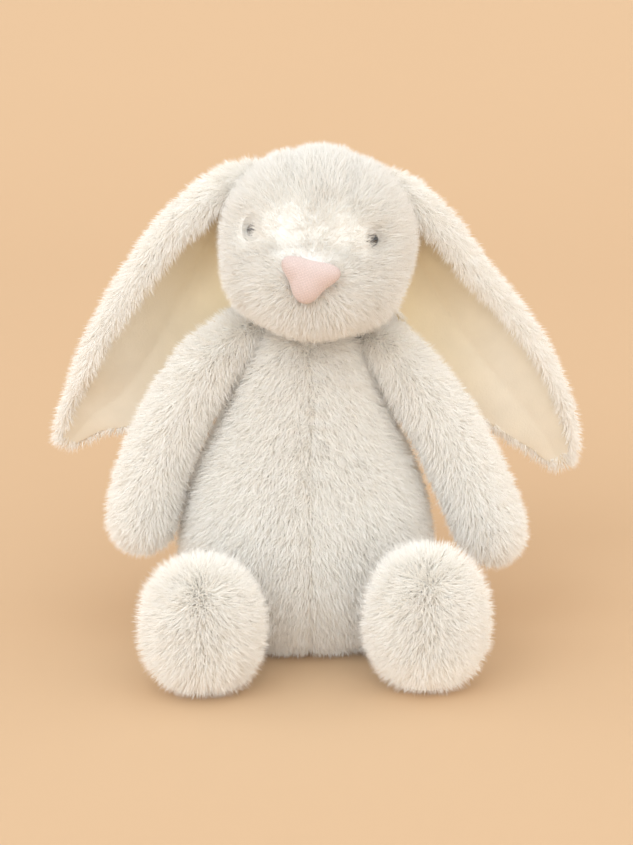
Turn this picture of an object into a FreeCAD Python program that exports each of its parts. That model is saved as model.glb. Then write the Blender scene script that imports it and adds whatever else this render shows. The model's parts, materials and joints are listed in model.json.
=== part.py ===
"""A stuffed rabbit toy sitting up, as it is sewn: cloth panels, stuffing, a bean pouch and plastic eyes.

Millimetres, +Z up. The toy sits on the plane z = 0 and faces -Y, so its own left side is +X.
The soft covers are drawn without their pile, which stands about five millimetres proud of them.
"""
import FreeCAD, Part
import os
from math import asin, cos, radians, sin, sqrt
from FreeCAD import Placement, Rotation, Vector
from Sketcher import Constraint

doc = FreeCAD.newDocument("stuffed_rabbit")

# ---------------------------------------------------------------- driving dimensions
DIMENSIONS = {
    "cloth": 1.6,                # thickness of a knitted pile backing
    "slip": 0.2,                 # room between a cover and what fills it
    "running_gap": 0.5,          # room between two parts that move against each other
    "bench": 400,                # side of the boxes that cut a cover into its panels
    "torso_centre_x": -3,
    "neck_ball_radius": 11,
    "neck_ball_height": 141.6,
    "neck_thread_radius": 7.6,
    "neck_thread_thickness": 0.8,
    "pouch_width": 29,
    "pouch_depth": 22,
    "pouch_height": 10,
    "pouch_centre_height": 14,
    "tail_radius": 14,
    "tail_height": 24,
    "tail_centre_y": 52.4,
    "label_width": 14,
    "label_length": 17,
    "label_thickness": 0.8,
    "head_x": 0, "head_y": -8, "head_z": 175.5,
    "head_yaw": -4, "head_roll": 5,
    "skull_width": 37.5, "skull_depth": 37, "skull_height": 34,
    "muzzle_width": 23, "muzzle_depth": 22, "muzzle_height": 19,
    "muzzle_forward": 22, "muzzle_drop": 9,
    "gusset_width": 24,
    "nose_width": 24, "nose_height": 18, "nose_corner": 3.5, "nose_depth": 9,
    "nose_forward": 45.4, "nose_drop": 7, "nose_tilt": 20,
    "eye_side_angle": 47, "eye_rise_angle": 15,
    "eye_radius": 3.3, "eye_shank_radius": 1.2, "eye_shank_length": 10,
    "washer_radius": 6, "washer_thickness": 1.2,
    "ear_length": 150, "ear_width": 50, "ear_cup": 42, "ear_lining": 1.2,
    "ear_root_x": 39, "ear_root_y": 15, "ear_root_z_left": 200.5, "ear_root_z_right": 204.5,
    "ear_spread": 30, "ear_back_tilt": 14, "ear_inward_turn": 20,
    "arm_length": 86, "arm_shoulder_radius": 9.5, "arm_hand_radius": 12, "arm_forward_tilt": 4,
    "arm_x_left": 32, "arm_z_left": 128, "arm_spread_left": 30,
    "arm_x_right": 35, "arm_z_right": 132, "arm_spread_right": 28,
    "arm_y": -2,
    "foot_width": 21.5, "foot_depth": 13, "foot_height": 26.5,
    "foot_x_left": 45, "foot_x_right": 46, "foot_y": -69, "foot_z": 25,
    "sole_reach": 5,
    "leg_radius": 11.6, "hip_radius": 12.4, "hip_x_left": 38, "hip_x_right": 43.5, "hip_y": -37.5,
    "hip_z": 14.2,
}
# Height, half width and half depth of each ring of the torso, from the seat up to the neck.
TORSO_RINGS = [
    (0, 35, 27), (8, 42.5, 33), (20, 48, 37), (38, 50, 38.5), (58, 45.5, 35.5),
    (78, 37.5, 30), (98, 29, 24), (116, 22, 19), (130, 16.5, 15),
]

sheet = doc.addObject("Spreadsheet::Sheet", "dims")
for row, (alias, value) in enumerate(DIMENSIONS.items(), start=1):
    sheet.set(f"A{row}", alias.replace("_", " "))
    sheet.set(f"B{row}", str(value))
    sheet.setAlias(f"B{row}", alias)
for index, ring in enumerate(TORSO_RINGS):
    for column, quality, value in zip("DEF", ("height", "width", "depth"), ring):
        sheet.set(f"{column}{index + 1}", str(value))
        sheet.setAlias(f"{column}{index + 1}", f"torso_{quality}_{index}")
doc.recompute()

subparts = []
SIDES = {"left": 1, "right": -1}     # the toy's own left is +X


def dim(alias):
    return float(sheet.get(alias))


def bind(obj, **expressions):
    """Drive properties of an object from the sheet: every word of the sheet is written as dims.word."""
    for prop, expression in expressions.items():
        obj.setExpression(prop.replace("__", "."), expression)
    return obj


def place(obj, x="0", y="0", z="0"):
    return bind(obj, Placement__Base__x=x, Placement__Base__y=y, Placement__Base__z=z)


def boolean(kind, name, base, tool):
    result = doc.addObject(f"Part::{kind}", name)
    result.Base, result.Tool = base, tool
    return result


def cut(name, base, tool):
    return boolean("Cut", name, base, tool)


def common(name, base, tool):
    return boolean("Common", name, base, tool)


def fuse(name, base, tool):
    return boolean("Fuse", name, base, tool)


def subpart(obj, label, placement=None):
    """Take an object as a finished piece of the toy."""
    obj.Label = label
    if placement is not None:
        obj.Placement = placement
    subparts.append(obj)
    return obj


def bench_box(name, x="-dims.bench / 2", y="-dims.bench / 2", z="-dims.bench / 2", width="dims.bench"):
    """A box big enough to cut a cover, with its lowest corner at x, y, z and a stated width along X."""
    box = doc.addObject("Part::Box", name)
    bind(box, Length=width, Width="dims.bench", Height="dims.bench")
    return place(box, x, y, z)


def ball(name, width, depth, height):
    """An ellipsoid with these half sizes along X, Y and Z."""
    body = doc.addObject("Part::Ellipsoid", name)
    body.Angle1, body.Angle2, body.Angle3 = -90, 90, 360
    return bind(body, Radius1=height, Radius2=width, Radius3=depth)


def rod(name, radius, length):
    return bind(doc.addObject("Part::Cylinder", name), Radius=radius, Height=length)


# ---------------------------------------------------------------- torso
def torso_form(name, inset):
    """The pear of the torso, lofted through its rings and drawn in by an inset on every side."""
    last = len(TORSO_RINGS) - 1
    rings = []
    for index in range(len(TORSO_RINGS)):
        ring = doc.addObject("Part::Ellipse", f"{name}_ring_{index}")
        step = {0: f" + {inset}", last: f" - {inset}"}.get(index, "")
        bind(ring, MajorRadius=f"dims.torso_width_{index} - {inset}",
             MinorRadius=f"dims.torso_depth_{index} - {inset}")
        place(ring, "dims.torso_centre_x", "0", f"dims.torso_height_{index}{step}")
        rings.append(ring)
    form = doc.addObject("Part::Loft", name)
    form.Sections, form.Solid, form.Ruled = rings, True, False
    return form


torso_outer = torso_form("torso_outer", "0")
torso_cover = cut("torso_cover", torso_outer, torso_form("torso_inner", "dims.cloth"))
seat_slab = bench_box("seat_slab", z="dims.cloth - dims.bench")
subpart(common("seat_panel", torso_cover, seat_slab), "seat_panel")
torso_wall = cut("torso_wall", torso_cover, seat_slab)

for side, sign in SIDES.items():
    start = "dims.torso_centre_x" + ("" if sign > 0 else " - dims.bench")
    for face, back in (("front", False), ("back", True)):
        quarter = bench_box(f"{face}_{side}_quarter", x=start, y="0" if back else "-dims.bench")
        panel = common(f"torso_{face}_{side}", torso_wall, quarter)
        subpart(panel, f"torso_panel_{face}_{side}")


def pouch_form(name, inset):
    form = ball(name, f"dims.pouch_width - {inset}", f"dims.pouch_depth - {inset}",
                f"dims.pouch_height - {inset}")
    return place(form, "dims.torso_centre_x", "0", "dims.pouch_centre_height")


stuffing_form = torso_form("torso_filling", "(dims.cloth + dims.slip)")
subpart(cut("torso_stuffing_cut", stuffing_form, pouch_form("pouch_room", "(-dims.slip)")), "torso_stuffing")
pouch_lining = pouch_form("pouch_lining", "dims.slip * 3")
subpart(cut("bean_pouch_cut", pouch_form("pouch_outside", "0"), pouch_lining), "bean_pouch")
subpart(pouch_form("bean_fill", "dims.slip * 4"), "bean_fill")

tail = {"x": "dims.torso_centre_x", "y": "dims.tail_centre_y", "z": "dims.tail_height"}
tail_balls = {}
for name, inset in (("tail_outside", "0"), ("tail_inside", "dims.cloth"), ("tail_filling", "dims.cloth + dims.slip")):
    radius = f"dims.tail_radius - ({inset})"
    tail_balls[name] = place(ball(name, radius, radius, radius), **tail)
subpart(cut("tail_shell", tail_balls["tail_outside"], tail_balls["tail_inside"]), "tail_cover")
subpart(tail_balls["tail_filling"], "tail_stuffing")

# A blank sewn-in label standing out of the left side seam, low down and a little behind.
label = doc.addObject("Part::Box", "label_strip")
bind(label, Length="dims.label_width", Width="dims.label_thickness", Height="dims.label_length")
place(label, "dims.torso_centre_x + dims.torso_width_2 - 1", "2", "dims.torso_height_1 + 4")
label_edge = torso_form("label_edge", "(-dims.slip)")
subpart(cut("label_cut", label, label_edge), "care_label")

# ---------------------------------------------------------------- neck
neck_place = ("dims.torso_centre_x + 2", "0", "dims.neck_ball_height")
neck_balls = {}
for name, inset in (("neck_outside", "0"), ("neck_inside", "dims.cloth"), ("neck_filling", "dims.cloth + dims.slip")):
    radius = f"dims.neck_ball_radius - ({inset})"
    neck_balls[name] = place(ball(name, radius, radius, radius), *neck_place)
subpart(cut("neck_shell", neck_balls["neck_outside"], neck_balls["neck_inside"]), "neck_cover")
subpart(neck_balls["neck_filling"], "neck_stuffing")

neck_thread = bind(doc.addObject("Part::Torus", "neck_ring"), Radius1="dims.neck_thread_radius",
                   Radius2="dims.neck_thread_thickness / 2")
place(neck_thread, neck_place[0], "0", "dims.torso_height_8 + dims.neck_thread_thickness / 2")
subpart(neck_thread, "neck_thread")


# ---------------------------------------------------------------- head, drawn about its own centre
def head_form(name, inset):
    skull = ball(f"{name}_skull", f"dims.skull_width - {inset}", f"dims.skull_depth - {inset}",
                 f"dims.skull_height - {inset}")
    muzzle = ball(f"{name}_muzzle", f"dims.muzzle_width - {inset}", f"dims.muzzle_depth - {inset}",
                  f"dims.muzzle_height - {inset}")
    place(muzzle, "0", "-dims.muzzle_forward", "-dims.muzzle_drop")
    return fuse(name, skull, muzzle)


head_seat = Placement(Vector(dim("head_x"), dim("head_y"), dim("head_z")),
                      Rotation(dim("head_yaw"), dim("head_roll"), 0))
neck_pivot = Vector(dim("torso_centre_x") + 2, 0, dim("neck_ball_height"))
neck_in_head = head_seat.inverse().multVec(neck_pivot)

neck_room = ball("neck_room", *["dims.neck_ball_radius + dims.running_gap"] * 3)
neck_room.Placement.Base = neck_in_head

eye_axis = {}
for side, sign in SIDES.items():
    outward, rise = radians(dim("eye_side_angle")), radians(dim("eye_rise_angle"))
    eye_axis[side] = Vector(sign * sin(outward) * cos(rise), -cos(outward) * cos(rise), sin(rise))


def skull_point(direction, inset=0.0):
    """Where the skull's surface faces a direction."""
    half = [dim(f"skull_{word}") - inset for word in ("width", "depth", "height")]
    scale = sqrt(sum((h * d) ** 2 for h, d in zip(half, direction)))
    return Vector(*[h * h * d / scale for h, d in zip(half, direction)])


def eye_rod(name, side, radius, length, sunk="0"):
    """A cylinder that points into the head along an eye's axis, from its surface or from a depth below."""
    cylinder = rod(name, radius, length)
    inward = Rotation(Vector(0, 0, 1), -eye_axis[side])
    depth = float(sunk) if sunk.replace(".", "").isdigit() else dim(sunk)
    cylinder.Placement = Placement(skull_point(eye_axis[side]) - eye_axis[side] * depth, inward)
    return cylinder


head_cover = cut("head_shell", head_form("head_outer", "0"), head_form("head_inner", "dims.cloth"))
head_filling = head_form("head_filling", "(dims.cloth + dims.slip)")
for side in SIDES:
    hole = eye_rod(f"eye_hole_{side}", side, "dims.eye_shank_radius + dims.slip", "dims.eye_shank_length")
    head_cover = cut(f"head_shell_eye_{side}", head_cover, hole)
    pocket = eye_rod(f"eye_pocket_{side}", side, "dims.washer_radius + dims.slip",
                     "dims.eye_shank_length + 1")
    head_filling = cut(f"head_filling_eye_{side}", head_filling, pocket)
head_cover = cut("head_shell_neck", head_cover, neck_room)
neck_room_inside = ball("neck_room_inside", *["dims.neck_ball_radius + dims.running_gap + dims.cloth"] * 3)
neck_room_inside.Placement.Base = neck_in_head
head_filling = cut("head_filling_neck", head_filling, neck_room_inside)

gusset_strip = bench_box("gusset_strip", x="-dims.gusset_width / 2", z="-dims.nose_drop",
                         width="dims.gusset_width")
subpart(common("gusset", head_cover, gusset_strip), "head_gusset", head_seat)
head_sides = cut("head_sides", head_cover, gusset_strip)
for side, sign in SIDES.items():
    half = bench_box(f"head_half_{side}", x="0" if sign > 0 else "-dims.bench")
    subpart(common(f"head_side_{side}", head_sides, half), f"head_panel_{side}", head_seat)
subpart(head_filling, "head_stuffing", head_seat)

# The nose is a padded triangle of woven cloth, its back shaped to the muzzle.
nose_pad = doc.addObject("PartDesign::Body", "nose_pad")
outline = nose_pad.newObject("Sketcher::SketchObject", "nose_outline")
front_plane = next(o for o in nose_pad.Origin.OriginFeatures if o.Role == "XZ_Plane")
outline.AttachmentSupport, outline.MapMode = (front_plane, [""]), "FlatFace"
half_width, height = dim("nose_width") / 2, dim("nose_height")
corners = [Vector(-half_width, 0, 0), Vector(half_width, 0, 0), Vector(0, -height, 0)]
for index, corner in enumerate(corners):
    outline.addGeometry(Part.LineSegment(corner, corners[(index + 1) % 3]))
for index in range(3):
    outline.addConstraint(Constraint("Coincident", index, 2, (index + 1) % 3, 1))
outline.addConstraint(Constraint("Horizontal", 0))
outline.addConstraint(Constraint("Symmetric", 0, 1, 0, 2, -1, 1))
outline.addConstraint(Constraint("PointOnObject", 1, 2, -2))
for name, constraint in (("width", Constraint("DistanceX", 0, 1, 0, 2, 2 * half_width)),
                         ("height", Constraint("DistanceY", 1, 2, 0, 1, height))):
    outline.renameConstraint(outline.addConstraint(constraint), name)
    outline.setExpression(f"Constraints.{name}", f"dims.nose_{name}")
pad = nose_pad.newObject("PartDesign::Pad", "nose_thickness")
pad.Profile, pad.Midplane = outline, True
bind(pad, Length="dims.nose_depth")
doc.recompute()
corner_edges = [f"Edge{i}" for i, e in enumerate(pad.Shape.Edges, start=1)
                if abs(e.Curve.Direction.y) > 0.9]
rounded = nose_pad.newObject("PartDesign::Fillet", "nose_corners")
rounded.Base = (pad, corner_edges)
bind(rounded, Radius="dims.nose_corner")
nose_front = dim("nose_forward") - dim("nose_depth") / 2
nose_pad.Placement = Placement(Vector(0, -nose_front, -dim("nose_drop") + height / 2),
                               Rotation(0, 0, -dim("nose_tilt")))
subpart(cut("nose_shaped", nose_pad, head_form("nose_bed", "(-dims.slip / 2)")), "nose", head_seat)

for side in SIDES:
    dome = doc.addObject("Part::Sphere", f"eye_dome_{side}")
    bind(dome, Radius="dims.eye_radius")
    dome.Placement.Base = skull_point(eye_axis[side]) + eye_axis[side] * 0.3
    dome_front = cut(f"eye_dome_front_{side}", dome, head_form(f"eye_bed_{side}", "(-dims.slip / 2)"))
    shank = eye_rod(f"eye_shank_{side}", side, "dims.eye_shank_radius", "dims.eye_shank_length")
    shank_long = eye_rod(f"eye_shank_top_{side}", side, "dims.eye_shank_radius", "dims.eye_radius")
    shank_long.Placement.Base += eye_axis[side] * (dim("eye_radius") - 1)
    stem = fuse(f"eye_stem_{side}", shank, shank_long)
    subpart(fuse(f"eye_button_{side}", dome_front, stem), f"eye_{side}", head_seat)
    ring = eye_rod(f"washer_disc_{side}", side, "dims.washer_radius", "dims.washer_thickness", "4")
    bore = eye_rod(f"washer_bore_{side}", side, "dims.eye_shank_radius + dims.slip / 4",
                   "dims.washer_thickness * 3", "3")
    subpart(cut(f"washer_{side}", ring, bore), f"eye_washer_{side}", head_seat)


# ---------------------------------------------------------------- ears, drawn from root (origin) to tip (+X)
def ear_layer(name, inner, outer):
    """The leaf-shaped part of a shallow trough between two radii, one layer of an ear."""
    leaf = doc.addObject("Part::Ellipse", f"{name}_outline")
    bind(leaf, MajorRadius="dims.ear_length / 2", MinorRadius="dims.ear_width / 2")
    place(leaf, "dims.ear_length / 2 - dims.ear_width ^ 2 / dims.ear_length / 2")
    block = doc.addObject("Part::Extrusion", f"{name}_block")
    block.Base, block.DirMode, block.Dir, block.Solid = leaf, "Custom", Vector(0, 0, 1), True
    bind(block, LengthFwd="dims.ear_width / 2", LengthRev="dims.cloth * 2")
    rods = [rod(f"{name}_{word}", radius, "dims.bench") for word, radius in (("out", outer), ("in", inner))]
    for cylinder in rods:
        cylinder.Placement = Placement(Vector(-dim("bench") / 2, 0, dim("ear_cup")), Rotation(0, 90, 0))
    return common(name, cut(f"{name}_trough", *rods), block)


for side, sign in SIDES.items():
    spread = radians(dim("ear_spread"))
    back = radians(dim("ear_back_tilt"))
    along = Vector(sign * sin(spread) * cos(back), sin(back), -cos(spread) * cos(back))
    facing = Vector(0, -1, 0)
    facing = (facing - along * facing.dot(along)).normalize()
    turn = Rotation(along, sign * dim("ear_inward_turn"))
    facing = turn.multVec(facing)
    seat = Placement(Vector(sign * dim("ear_root_x"), dim("ear_root_y"), dim(f"ear_root_z_{side}")),
                     Rotation(along, facing.cross(along), facing, "XZY"))
    back_layer = ear_layer(f"ear_back_form_{side}", "dims.ear_cup", "dims.ear_cup + dims.cloth")
    subpart(back_layer, f"ear_back_{side}", seat)
    lining = ear_layer(f"ear_lining_form_{side}", "dims.ear_cup - dims.slip / 4 - dims.ear_lining",
                       "dims.ear_cup - dims.slip / 4")
    subpart(lining, f"ear_lining_{side}", seat)


# ---------------------------------------------------------------- arms, drawn from shoulder (origin) down
def limb_outline(sketch, first, inset, word):
    """Half the outline of a limb that widens from shoulder to hand: an arc, a line and an arc."""
    length = dim("arm_length")
    top, tip = dim("arm_shoulder_radius") - inset, dim("arm_hand_radius") - inset
    lean = (tip - top) / length
    edge, quarter, angle = sqrt(1 - lean * lean), radians(90), asin(lean)
    middle = Vector(0, -length, 0)
    axis = Vector(0, 0, 1)
    line = Part.LineSegment(Vector(top * edge, top * lean, 0), middle + Vector(tip * edge, tip * lean, 0))
    sketch.addGeometry([Part.ArcOfCircle(Part.Circle(Vector(), axis, top), angle, quarter), line,
                        Part.ArcOfCircle(Part.Circle(middle, axis, tip), -quarter, angle)])
    shoulder, side, hand = first, first + 1, first + 2
    for rule in (("Coincident", shoulder, 3, -1, 1), ("PointOnObject", hand, 3, -2),
                 ("Tangent", shoulder, 1, side, 1), ("Tangent", side, 2, hand, 2),
                 ("PointOnObject", shoulder, 2, -2), ("PointOnObject", hand, 1, -2)):
        sketch.addConstraint(Constraint(*rule))
    sizes = {"length": (("DistanceY", hand, 3, shoulder, 3, length), "dims.arm_length"),
             "top": (("Radius", shoulder, top), f"dims.arm_shoulder_radius - {inset}"),
             "tip": (("Radius", hand, tip), f"dims.arm_hand_radius - {inset}")}
    for name, (rule, expression) in sizes.items():
        sketch.renameConstraint(sketch.addConstraint(Constraint(*rule)), f"{word}_{name}")
        sketch.setExpression(f"Constraints.{word}_{name}", expression)
    return Vector(0, top, 0), Vector(0, -length - tip, 0)


def limb_body(name, insets, turn):
    """A limb revolved about its axis: a wall if it has two insets, or a filling if it has one."""
    body = doc.addObject("PartDesign::Body", name)
    sketch = body.newObject("Sketcher::SketchObject", f"{name}_profile")
    plane = next(o for o in body.Origin.OriginFeatures if o.Role == "XZ_Plane")
    sketch.AttachmentSupport, sketch.MapMode = (plane, [""]), "FlatFace"
    ends = [limb_outline(sketch, 3 * i, inset, word) for i, (inset, word) in enumerate(zip(insets, ("out", "in")))]
    if len(insets) == 2:
        bridges = [(ends[0][0], ends[1][0], (0, 2), (3, 2)), (ends[0][1], ends[1][1], (2, 1), (5, 1))]
    else:
        bridges = [(ends[0][0], ends[0][1], (0, 2), (2, 1))]
    for start, stop, start_at, stop_at in bridges:
        line = sketch.addGeometry(Part.LineSegment(start, stop))
        sketch.addConstraint(Constraint("Coincident", line, 1, *start_at))
        sketch.addConstraint(Constraint("Coincident", line, 2, *stop_at))
    solid = body.newObject("PartDesign::Revolution", f"{name}_turned")
    solid.Profile, solid.ReferenceAxis = sketch, (sketch, ["V_Axis"])
    solid.Angle, solid.Midplane = turn, turn < 360
    return body


cloth, filling = dim("cloth"), dim("cloth") + dim("slip")
for side, sign in SIDES.items():
    shoulder = Vector(sign * dim(f"arm_x_{side}"), dim("arm_y"), dim(f"arm_z_{side}"))
    hang = Rotation(0, -sign * dim(f"arm_spread_{side}"), -dim("arm_forward_tilt"))
    about_axis = {"outer": Rotation(0 if sign > 0 else 180, 0, 0), "inner": Rotation(180 if sign > 0 else 0, 0, 0)}
    for half, turned in about_axis.items():
        body = limb_body(f"arm_{half}_{side}", (0, cloth), 180)
        subpart(body, f"arm_panel_{half}_{side}", Placement(shoulder, hang * turned))
    body = limb_body(f"arm_filling_{side}", (filling,), 360)
    subpart(body, f"arm_stuffing_{side}", Placement(shoulder, hang))


# ---------------------------------------------------------------- legs and feet, in place
def leg_form(name, side, sign, inset):
    """An upright foot with a short leg behind it that ends in a round hip, flat where it rests."""
    foot = ball(f"{name}_foot", f"dims.foot_width - {inset}", f"dims.foot_depth - {inset}",
                f"dims.foot_height - {inset}")
    place(foot, f"{sign} * dims.foot_x_{side}", "dims.foot_y", "dims.foot_z")
    hip_point = Vector(sign * dim(f"hip_x_{side}"), dim("hip_y"), dim("hip_z"))
    ankle = Vector(sign * dim(f"foot_x_{side}"), dim("foot_y"), dim("hip_z"))
    hip = ball(f"{name}_hip", *[f"dims.hip_radius - {inset}"] * 3)
    place(hip, f"{sign} * dims.hip_x_{side}", "dims.hip_y", "dims.hip_z")
    shin = rod(f"{name}_shin", f"dims.leg_radius - {inset}", str((ankle - hip_point).Length))
    shin.Placement = Placement(hip_point, Rotation(Vector(0, 0, 1), ankle - hip_point))
    whole = fuse(f"{name}_whole", fuse(f"{name}_lower", foot, shin), hip)
    return common(name, whole, bench_box(f"{name}_ground", z=inset))


for side, sign in SIDES.items():
    cover = cut(f"leg_cover_{side}", leg_form(f"leg_outer_{side}", side, sign, "0"),
                leg_form(f"leg_inner_{side}", side, sign, "dims.cloth"))
    front = bench_box(f"sole_cut_{side}", y="dims.foot_y - dims.sole_reach - dims.bench")
    subpart(common(f"sole_cap_{side}", cover, front), f"sole_{side}")
    upper = cut(f"leg_upper_{side}", cover, front)
    outside = bench_box(f"leg_outside_{side}", x="dims.hip_x_left" if sign > 0 else "-dims.hip_x_right - dims.bench")
    subpart(common(f"leg_outer_half_{side}", upper, outside), f"leg_panel_outer_{side}")
    subpart(cut(f"leg_inner_half_{side}", upper, outside), f"leg_panel_inner_{side}")
    subpart(leg_form(f"leg_filling_{side}", side, sign, "(dims.cloth + dims.slip)"), f"leg_stuffing_{side}")

# ---------------------------------------------------------------- checks and export
doc.recompute()
failed = [obj.Name for obj in doc.Objects if {"Invalid", "Error"} & set(obj.State)]
failed += [obj.Label for obj in subparts if obj.Shape.isNull() or not obj.Shape.isValid()]
if failed:
    raise RuntimeError(f"these objects failed: {failed}")

os.makedirs("parts", exist_ok=True)
for obj in subparts:
    obj.Shape.exportStep(f"parts/{obj.Label}.step")
    print(f"{obj.Label:28s} {obj.Shape.Volume / 1000:8.2f} cm3 in {len(obj.Shape.Solids)} solid")
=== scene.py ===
"""Looks of a sitting plush rabbit: stuffed covers, combed pile, folded ears, woven nose and buried eyes.

Metres, +Z up. The toy sits on z = 0 and faces -Y, so its own left side is +X.
"""
import json
import math

import bmesh
import bpy
import numpy as np
from bpy.props import FloatProperty, FloatVectorProperty, IntProperty, PointerProperty
from mathutils import Matrix, Vector

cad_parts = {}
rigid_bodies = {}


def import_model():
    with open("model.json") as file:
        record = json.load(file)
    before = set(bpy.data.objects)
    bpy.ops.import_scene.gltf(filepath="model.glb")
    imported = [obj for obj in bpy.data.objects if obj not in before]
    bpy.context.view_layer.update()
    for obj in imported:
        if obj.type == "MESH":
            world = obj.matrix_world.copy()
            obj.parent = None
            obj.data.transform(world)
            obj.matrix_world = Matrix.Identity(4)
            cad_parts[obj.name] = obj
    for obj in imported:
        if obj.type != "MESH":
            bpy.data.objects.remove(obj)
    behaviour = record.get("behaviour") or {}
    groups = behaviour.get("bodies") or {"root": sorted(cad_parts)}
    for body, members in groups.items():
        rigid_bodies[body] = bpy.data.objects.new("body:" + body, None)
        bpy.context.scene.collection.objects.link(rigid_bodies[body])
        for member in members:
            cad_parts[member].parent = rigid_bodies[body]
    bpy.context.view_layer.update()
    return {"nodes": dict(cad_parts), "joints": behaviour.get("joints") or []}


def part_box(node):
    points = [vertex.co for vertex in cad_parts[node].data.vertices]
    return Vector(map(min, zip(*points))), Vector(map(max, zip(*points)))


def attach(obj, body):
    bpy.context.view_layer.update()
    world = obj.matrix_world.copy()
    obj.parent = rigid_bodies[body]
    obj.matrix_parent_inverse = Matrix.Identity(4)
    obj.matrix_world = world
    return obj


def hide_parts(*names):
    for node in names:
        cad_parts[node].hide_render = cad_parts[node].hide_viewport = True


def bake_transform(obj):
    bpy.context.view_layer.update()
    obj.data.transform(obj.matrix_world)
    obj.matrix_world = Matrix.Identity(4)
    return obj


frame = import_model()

bl_info = {
    "name": "Plush Rabbit",
    "version": (1, 0, 0),
    "blender": (4, 5, 0),
    "location": "3D View > Sidebar > Rabbit",
    "description": "Builds the covers, pile, face and ears of a sitting plush rabbit",
    "category": "Object",
}

MM = 0.001
SIDES = {"left": 1, "right": -1}      # the toy's own left is +X
JOINTS = {joint["name"]: joint for joint in frame["joints"]}
MATERIALS = {}                        # filled by main before the first piece is made


# ---------------------------------------------------------------- settings
class RabbitSizes(bpy.types.PropertyGroup):
    """Sizes of the cloth and its pile"""

    body_pile: FloatProperty(name="Body pile", description="Length of the pile on the torso and arms",
                             default=7.0 * MM, unit="LENGTH")
    head_pile: FloatProperty(name="Head pile", description="Length of the pile on the head",
                             default=6.2 * MM, unit="LENGTH")
    foot_pile: FloatProperty(name="Foot pile", description="Length of the pile on the feet",
                             default=8.5 * MM, unit="LENGTH")
    ear_pile: FloatProperty(name="Ear pile", description="Length of the pile on the backs of the ears",
                            default=6.0 * MM, unit="LENGTH")
    strand: FloatProperty(name="Strand", description="Radius of a tuft of fibres at its root",
                          default=0.255 * MM, unit="LENGTH")
    density: FloatProperty(name="Density", description="Strands per square metre", default=3.65e6)
    clump: FloatProperty(name="Clump", description="Distance between the clumps the pile gathers into",
                         default=3.0 * MM, unit="LENGTH")
    voxel: FloatProperty(name="Voxel", description="Grid of the covers' meshes",
                         default=3.4 * MM, unit="LENGTH")
    swell: FloatProperty(name="Swell", description="The most that the filling may push a cover out",
                         default=2.2 * MM, unit="LENGTH")
    seed: IntProperty(name="Seed", description="Seed of everything scattered", default=7)


class RabbitColours(bpy.types.PropertyGroup):
    """Colours of the cloths"""

    tip: FloatVectorProperty(name="Pile tip", description="Pile colour at the tips", subtype="COLOR",
                             default=(0.995, 0.99, 0.975))
    root: FloatVectorProperty(name="Pile root", description="Pile colour at the backing", subtype="COLOR",
                              default=(0.985, 0.97, 0.94))
    lining: FloatVectorProperty(name="Lining", description="Short pile inside the ears", subtype="COLOR",
                                default=(0.945, 0.90, 0.785))
    nose: FloatVectorProperty(name="Nose", description="Woven cloth of the nose", subtype="COLOR",
                              default=(0.85, 0.685, 0.655))
    floor: FloatVectorProperty(name="Floor", description="Paper sweep under and behind the toy",
                               subtype="COLOR", default=(0.655, 0.464, 0.298))


def sizes():
    return bpy.context.scene.rabbit_sizes


def colours():
    return bpy.context.scene.rabbit_colours


# ---------------------------------------------------------------- materials
def new_material(name):
    """A material, its node tree and its Principled shader."""
    material = bpy.data.materials.new(name)
    material.use_nodes = True
    return material, material.node_tree, material.node_tree.nodes["Principled BSDF"]


def set_inputs(made, **values):
    """Set inputs by name, with spaces as underscores, or link them if the value is a socket."""
    for key, value in values.items():
        socket = made.inputs[key.replace("_", " ")]
        if isinstance(value, bpy.types.NodeSocket):
            made.id_data.links.new(value, socket)
        else:
            socket.default_value = value


def node(tree, kind, **values):
    """A new node with its properties and its inputs set by name."""
    made = tree.nodes.new(kind)
    for key, value in values.items():
        if hasattr(made, key):
            setattr(made, key, value)
        else:
            set_inputs(made, **{key: value})
    return made


def ramp(tree, factor, stops):
    """A colour ramp on a factor: stops are (place, colour)."""
    made = node(tree, "ShaderNodeValToRGB", Fac=factor)
    elements = made.color_ramp.elements
    while len(elements) < len(stops):
        elements.new(0.5)
    for element, (place, colour) in zip(elements, stops):
        element.position, element.color = place, (*colour, 1.0)
    return made.outputs["Color"]


def shade(colour, factor):
    return tuple(channel * factor for channel in colour)


def multiply(tree, first, second):
    """The product of two colours."""
    mix = node(tree, "ShaderNodeMix", data_type="RGBA", blend_type="MULTIPLY")
    set_inputs(mix, Factor=1.0, A=first, B=second)
    return mix.outputs["Result"]


def noise(tree, scale, detail=3.0):
    place = node(tree, "ShaderNodeTexCoord")
    texture = node(tree, "ShaderNodeTexNoise", Scale=scale, Detail=detail, Vector=place.outputs["Object"])
    return texture.outputs["Fac"]


def object_axis(tree, axis):
    """One of the piece's own coordinates."""
    place = node(tree, "ShaderNodeTexCoord")
    return node(tree, "ShaderNodeSeparateXYZ", Vector=place.outputs["Object"]).outputs[axis]


def add_bump(tree, shader, height, strength, distance=0.4 * MM):
    bump = node(tree, "ShaderNodeBump", Strength=strength, Distance=distance, Height=height)
    set_inputs(shader, Normal=bump.outputs["Normal"])


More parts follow.
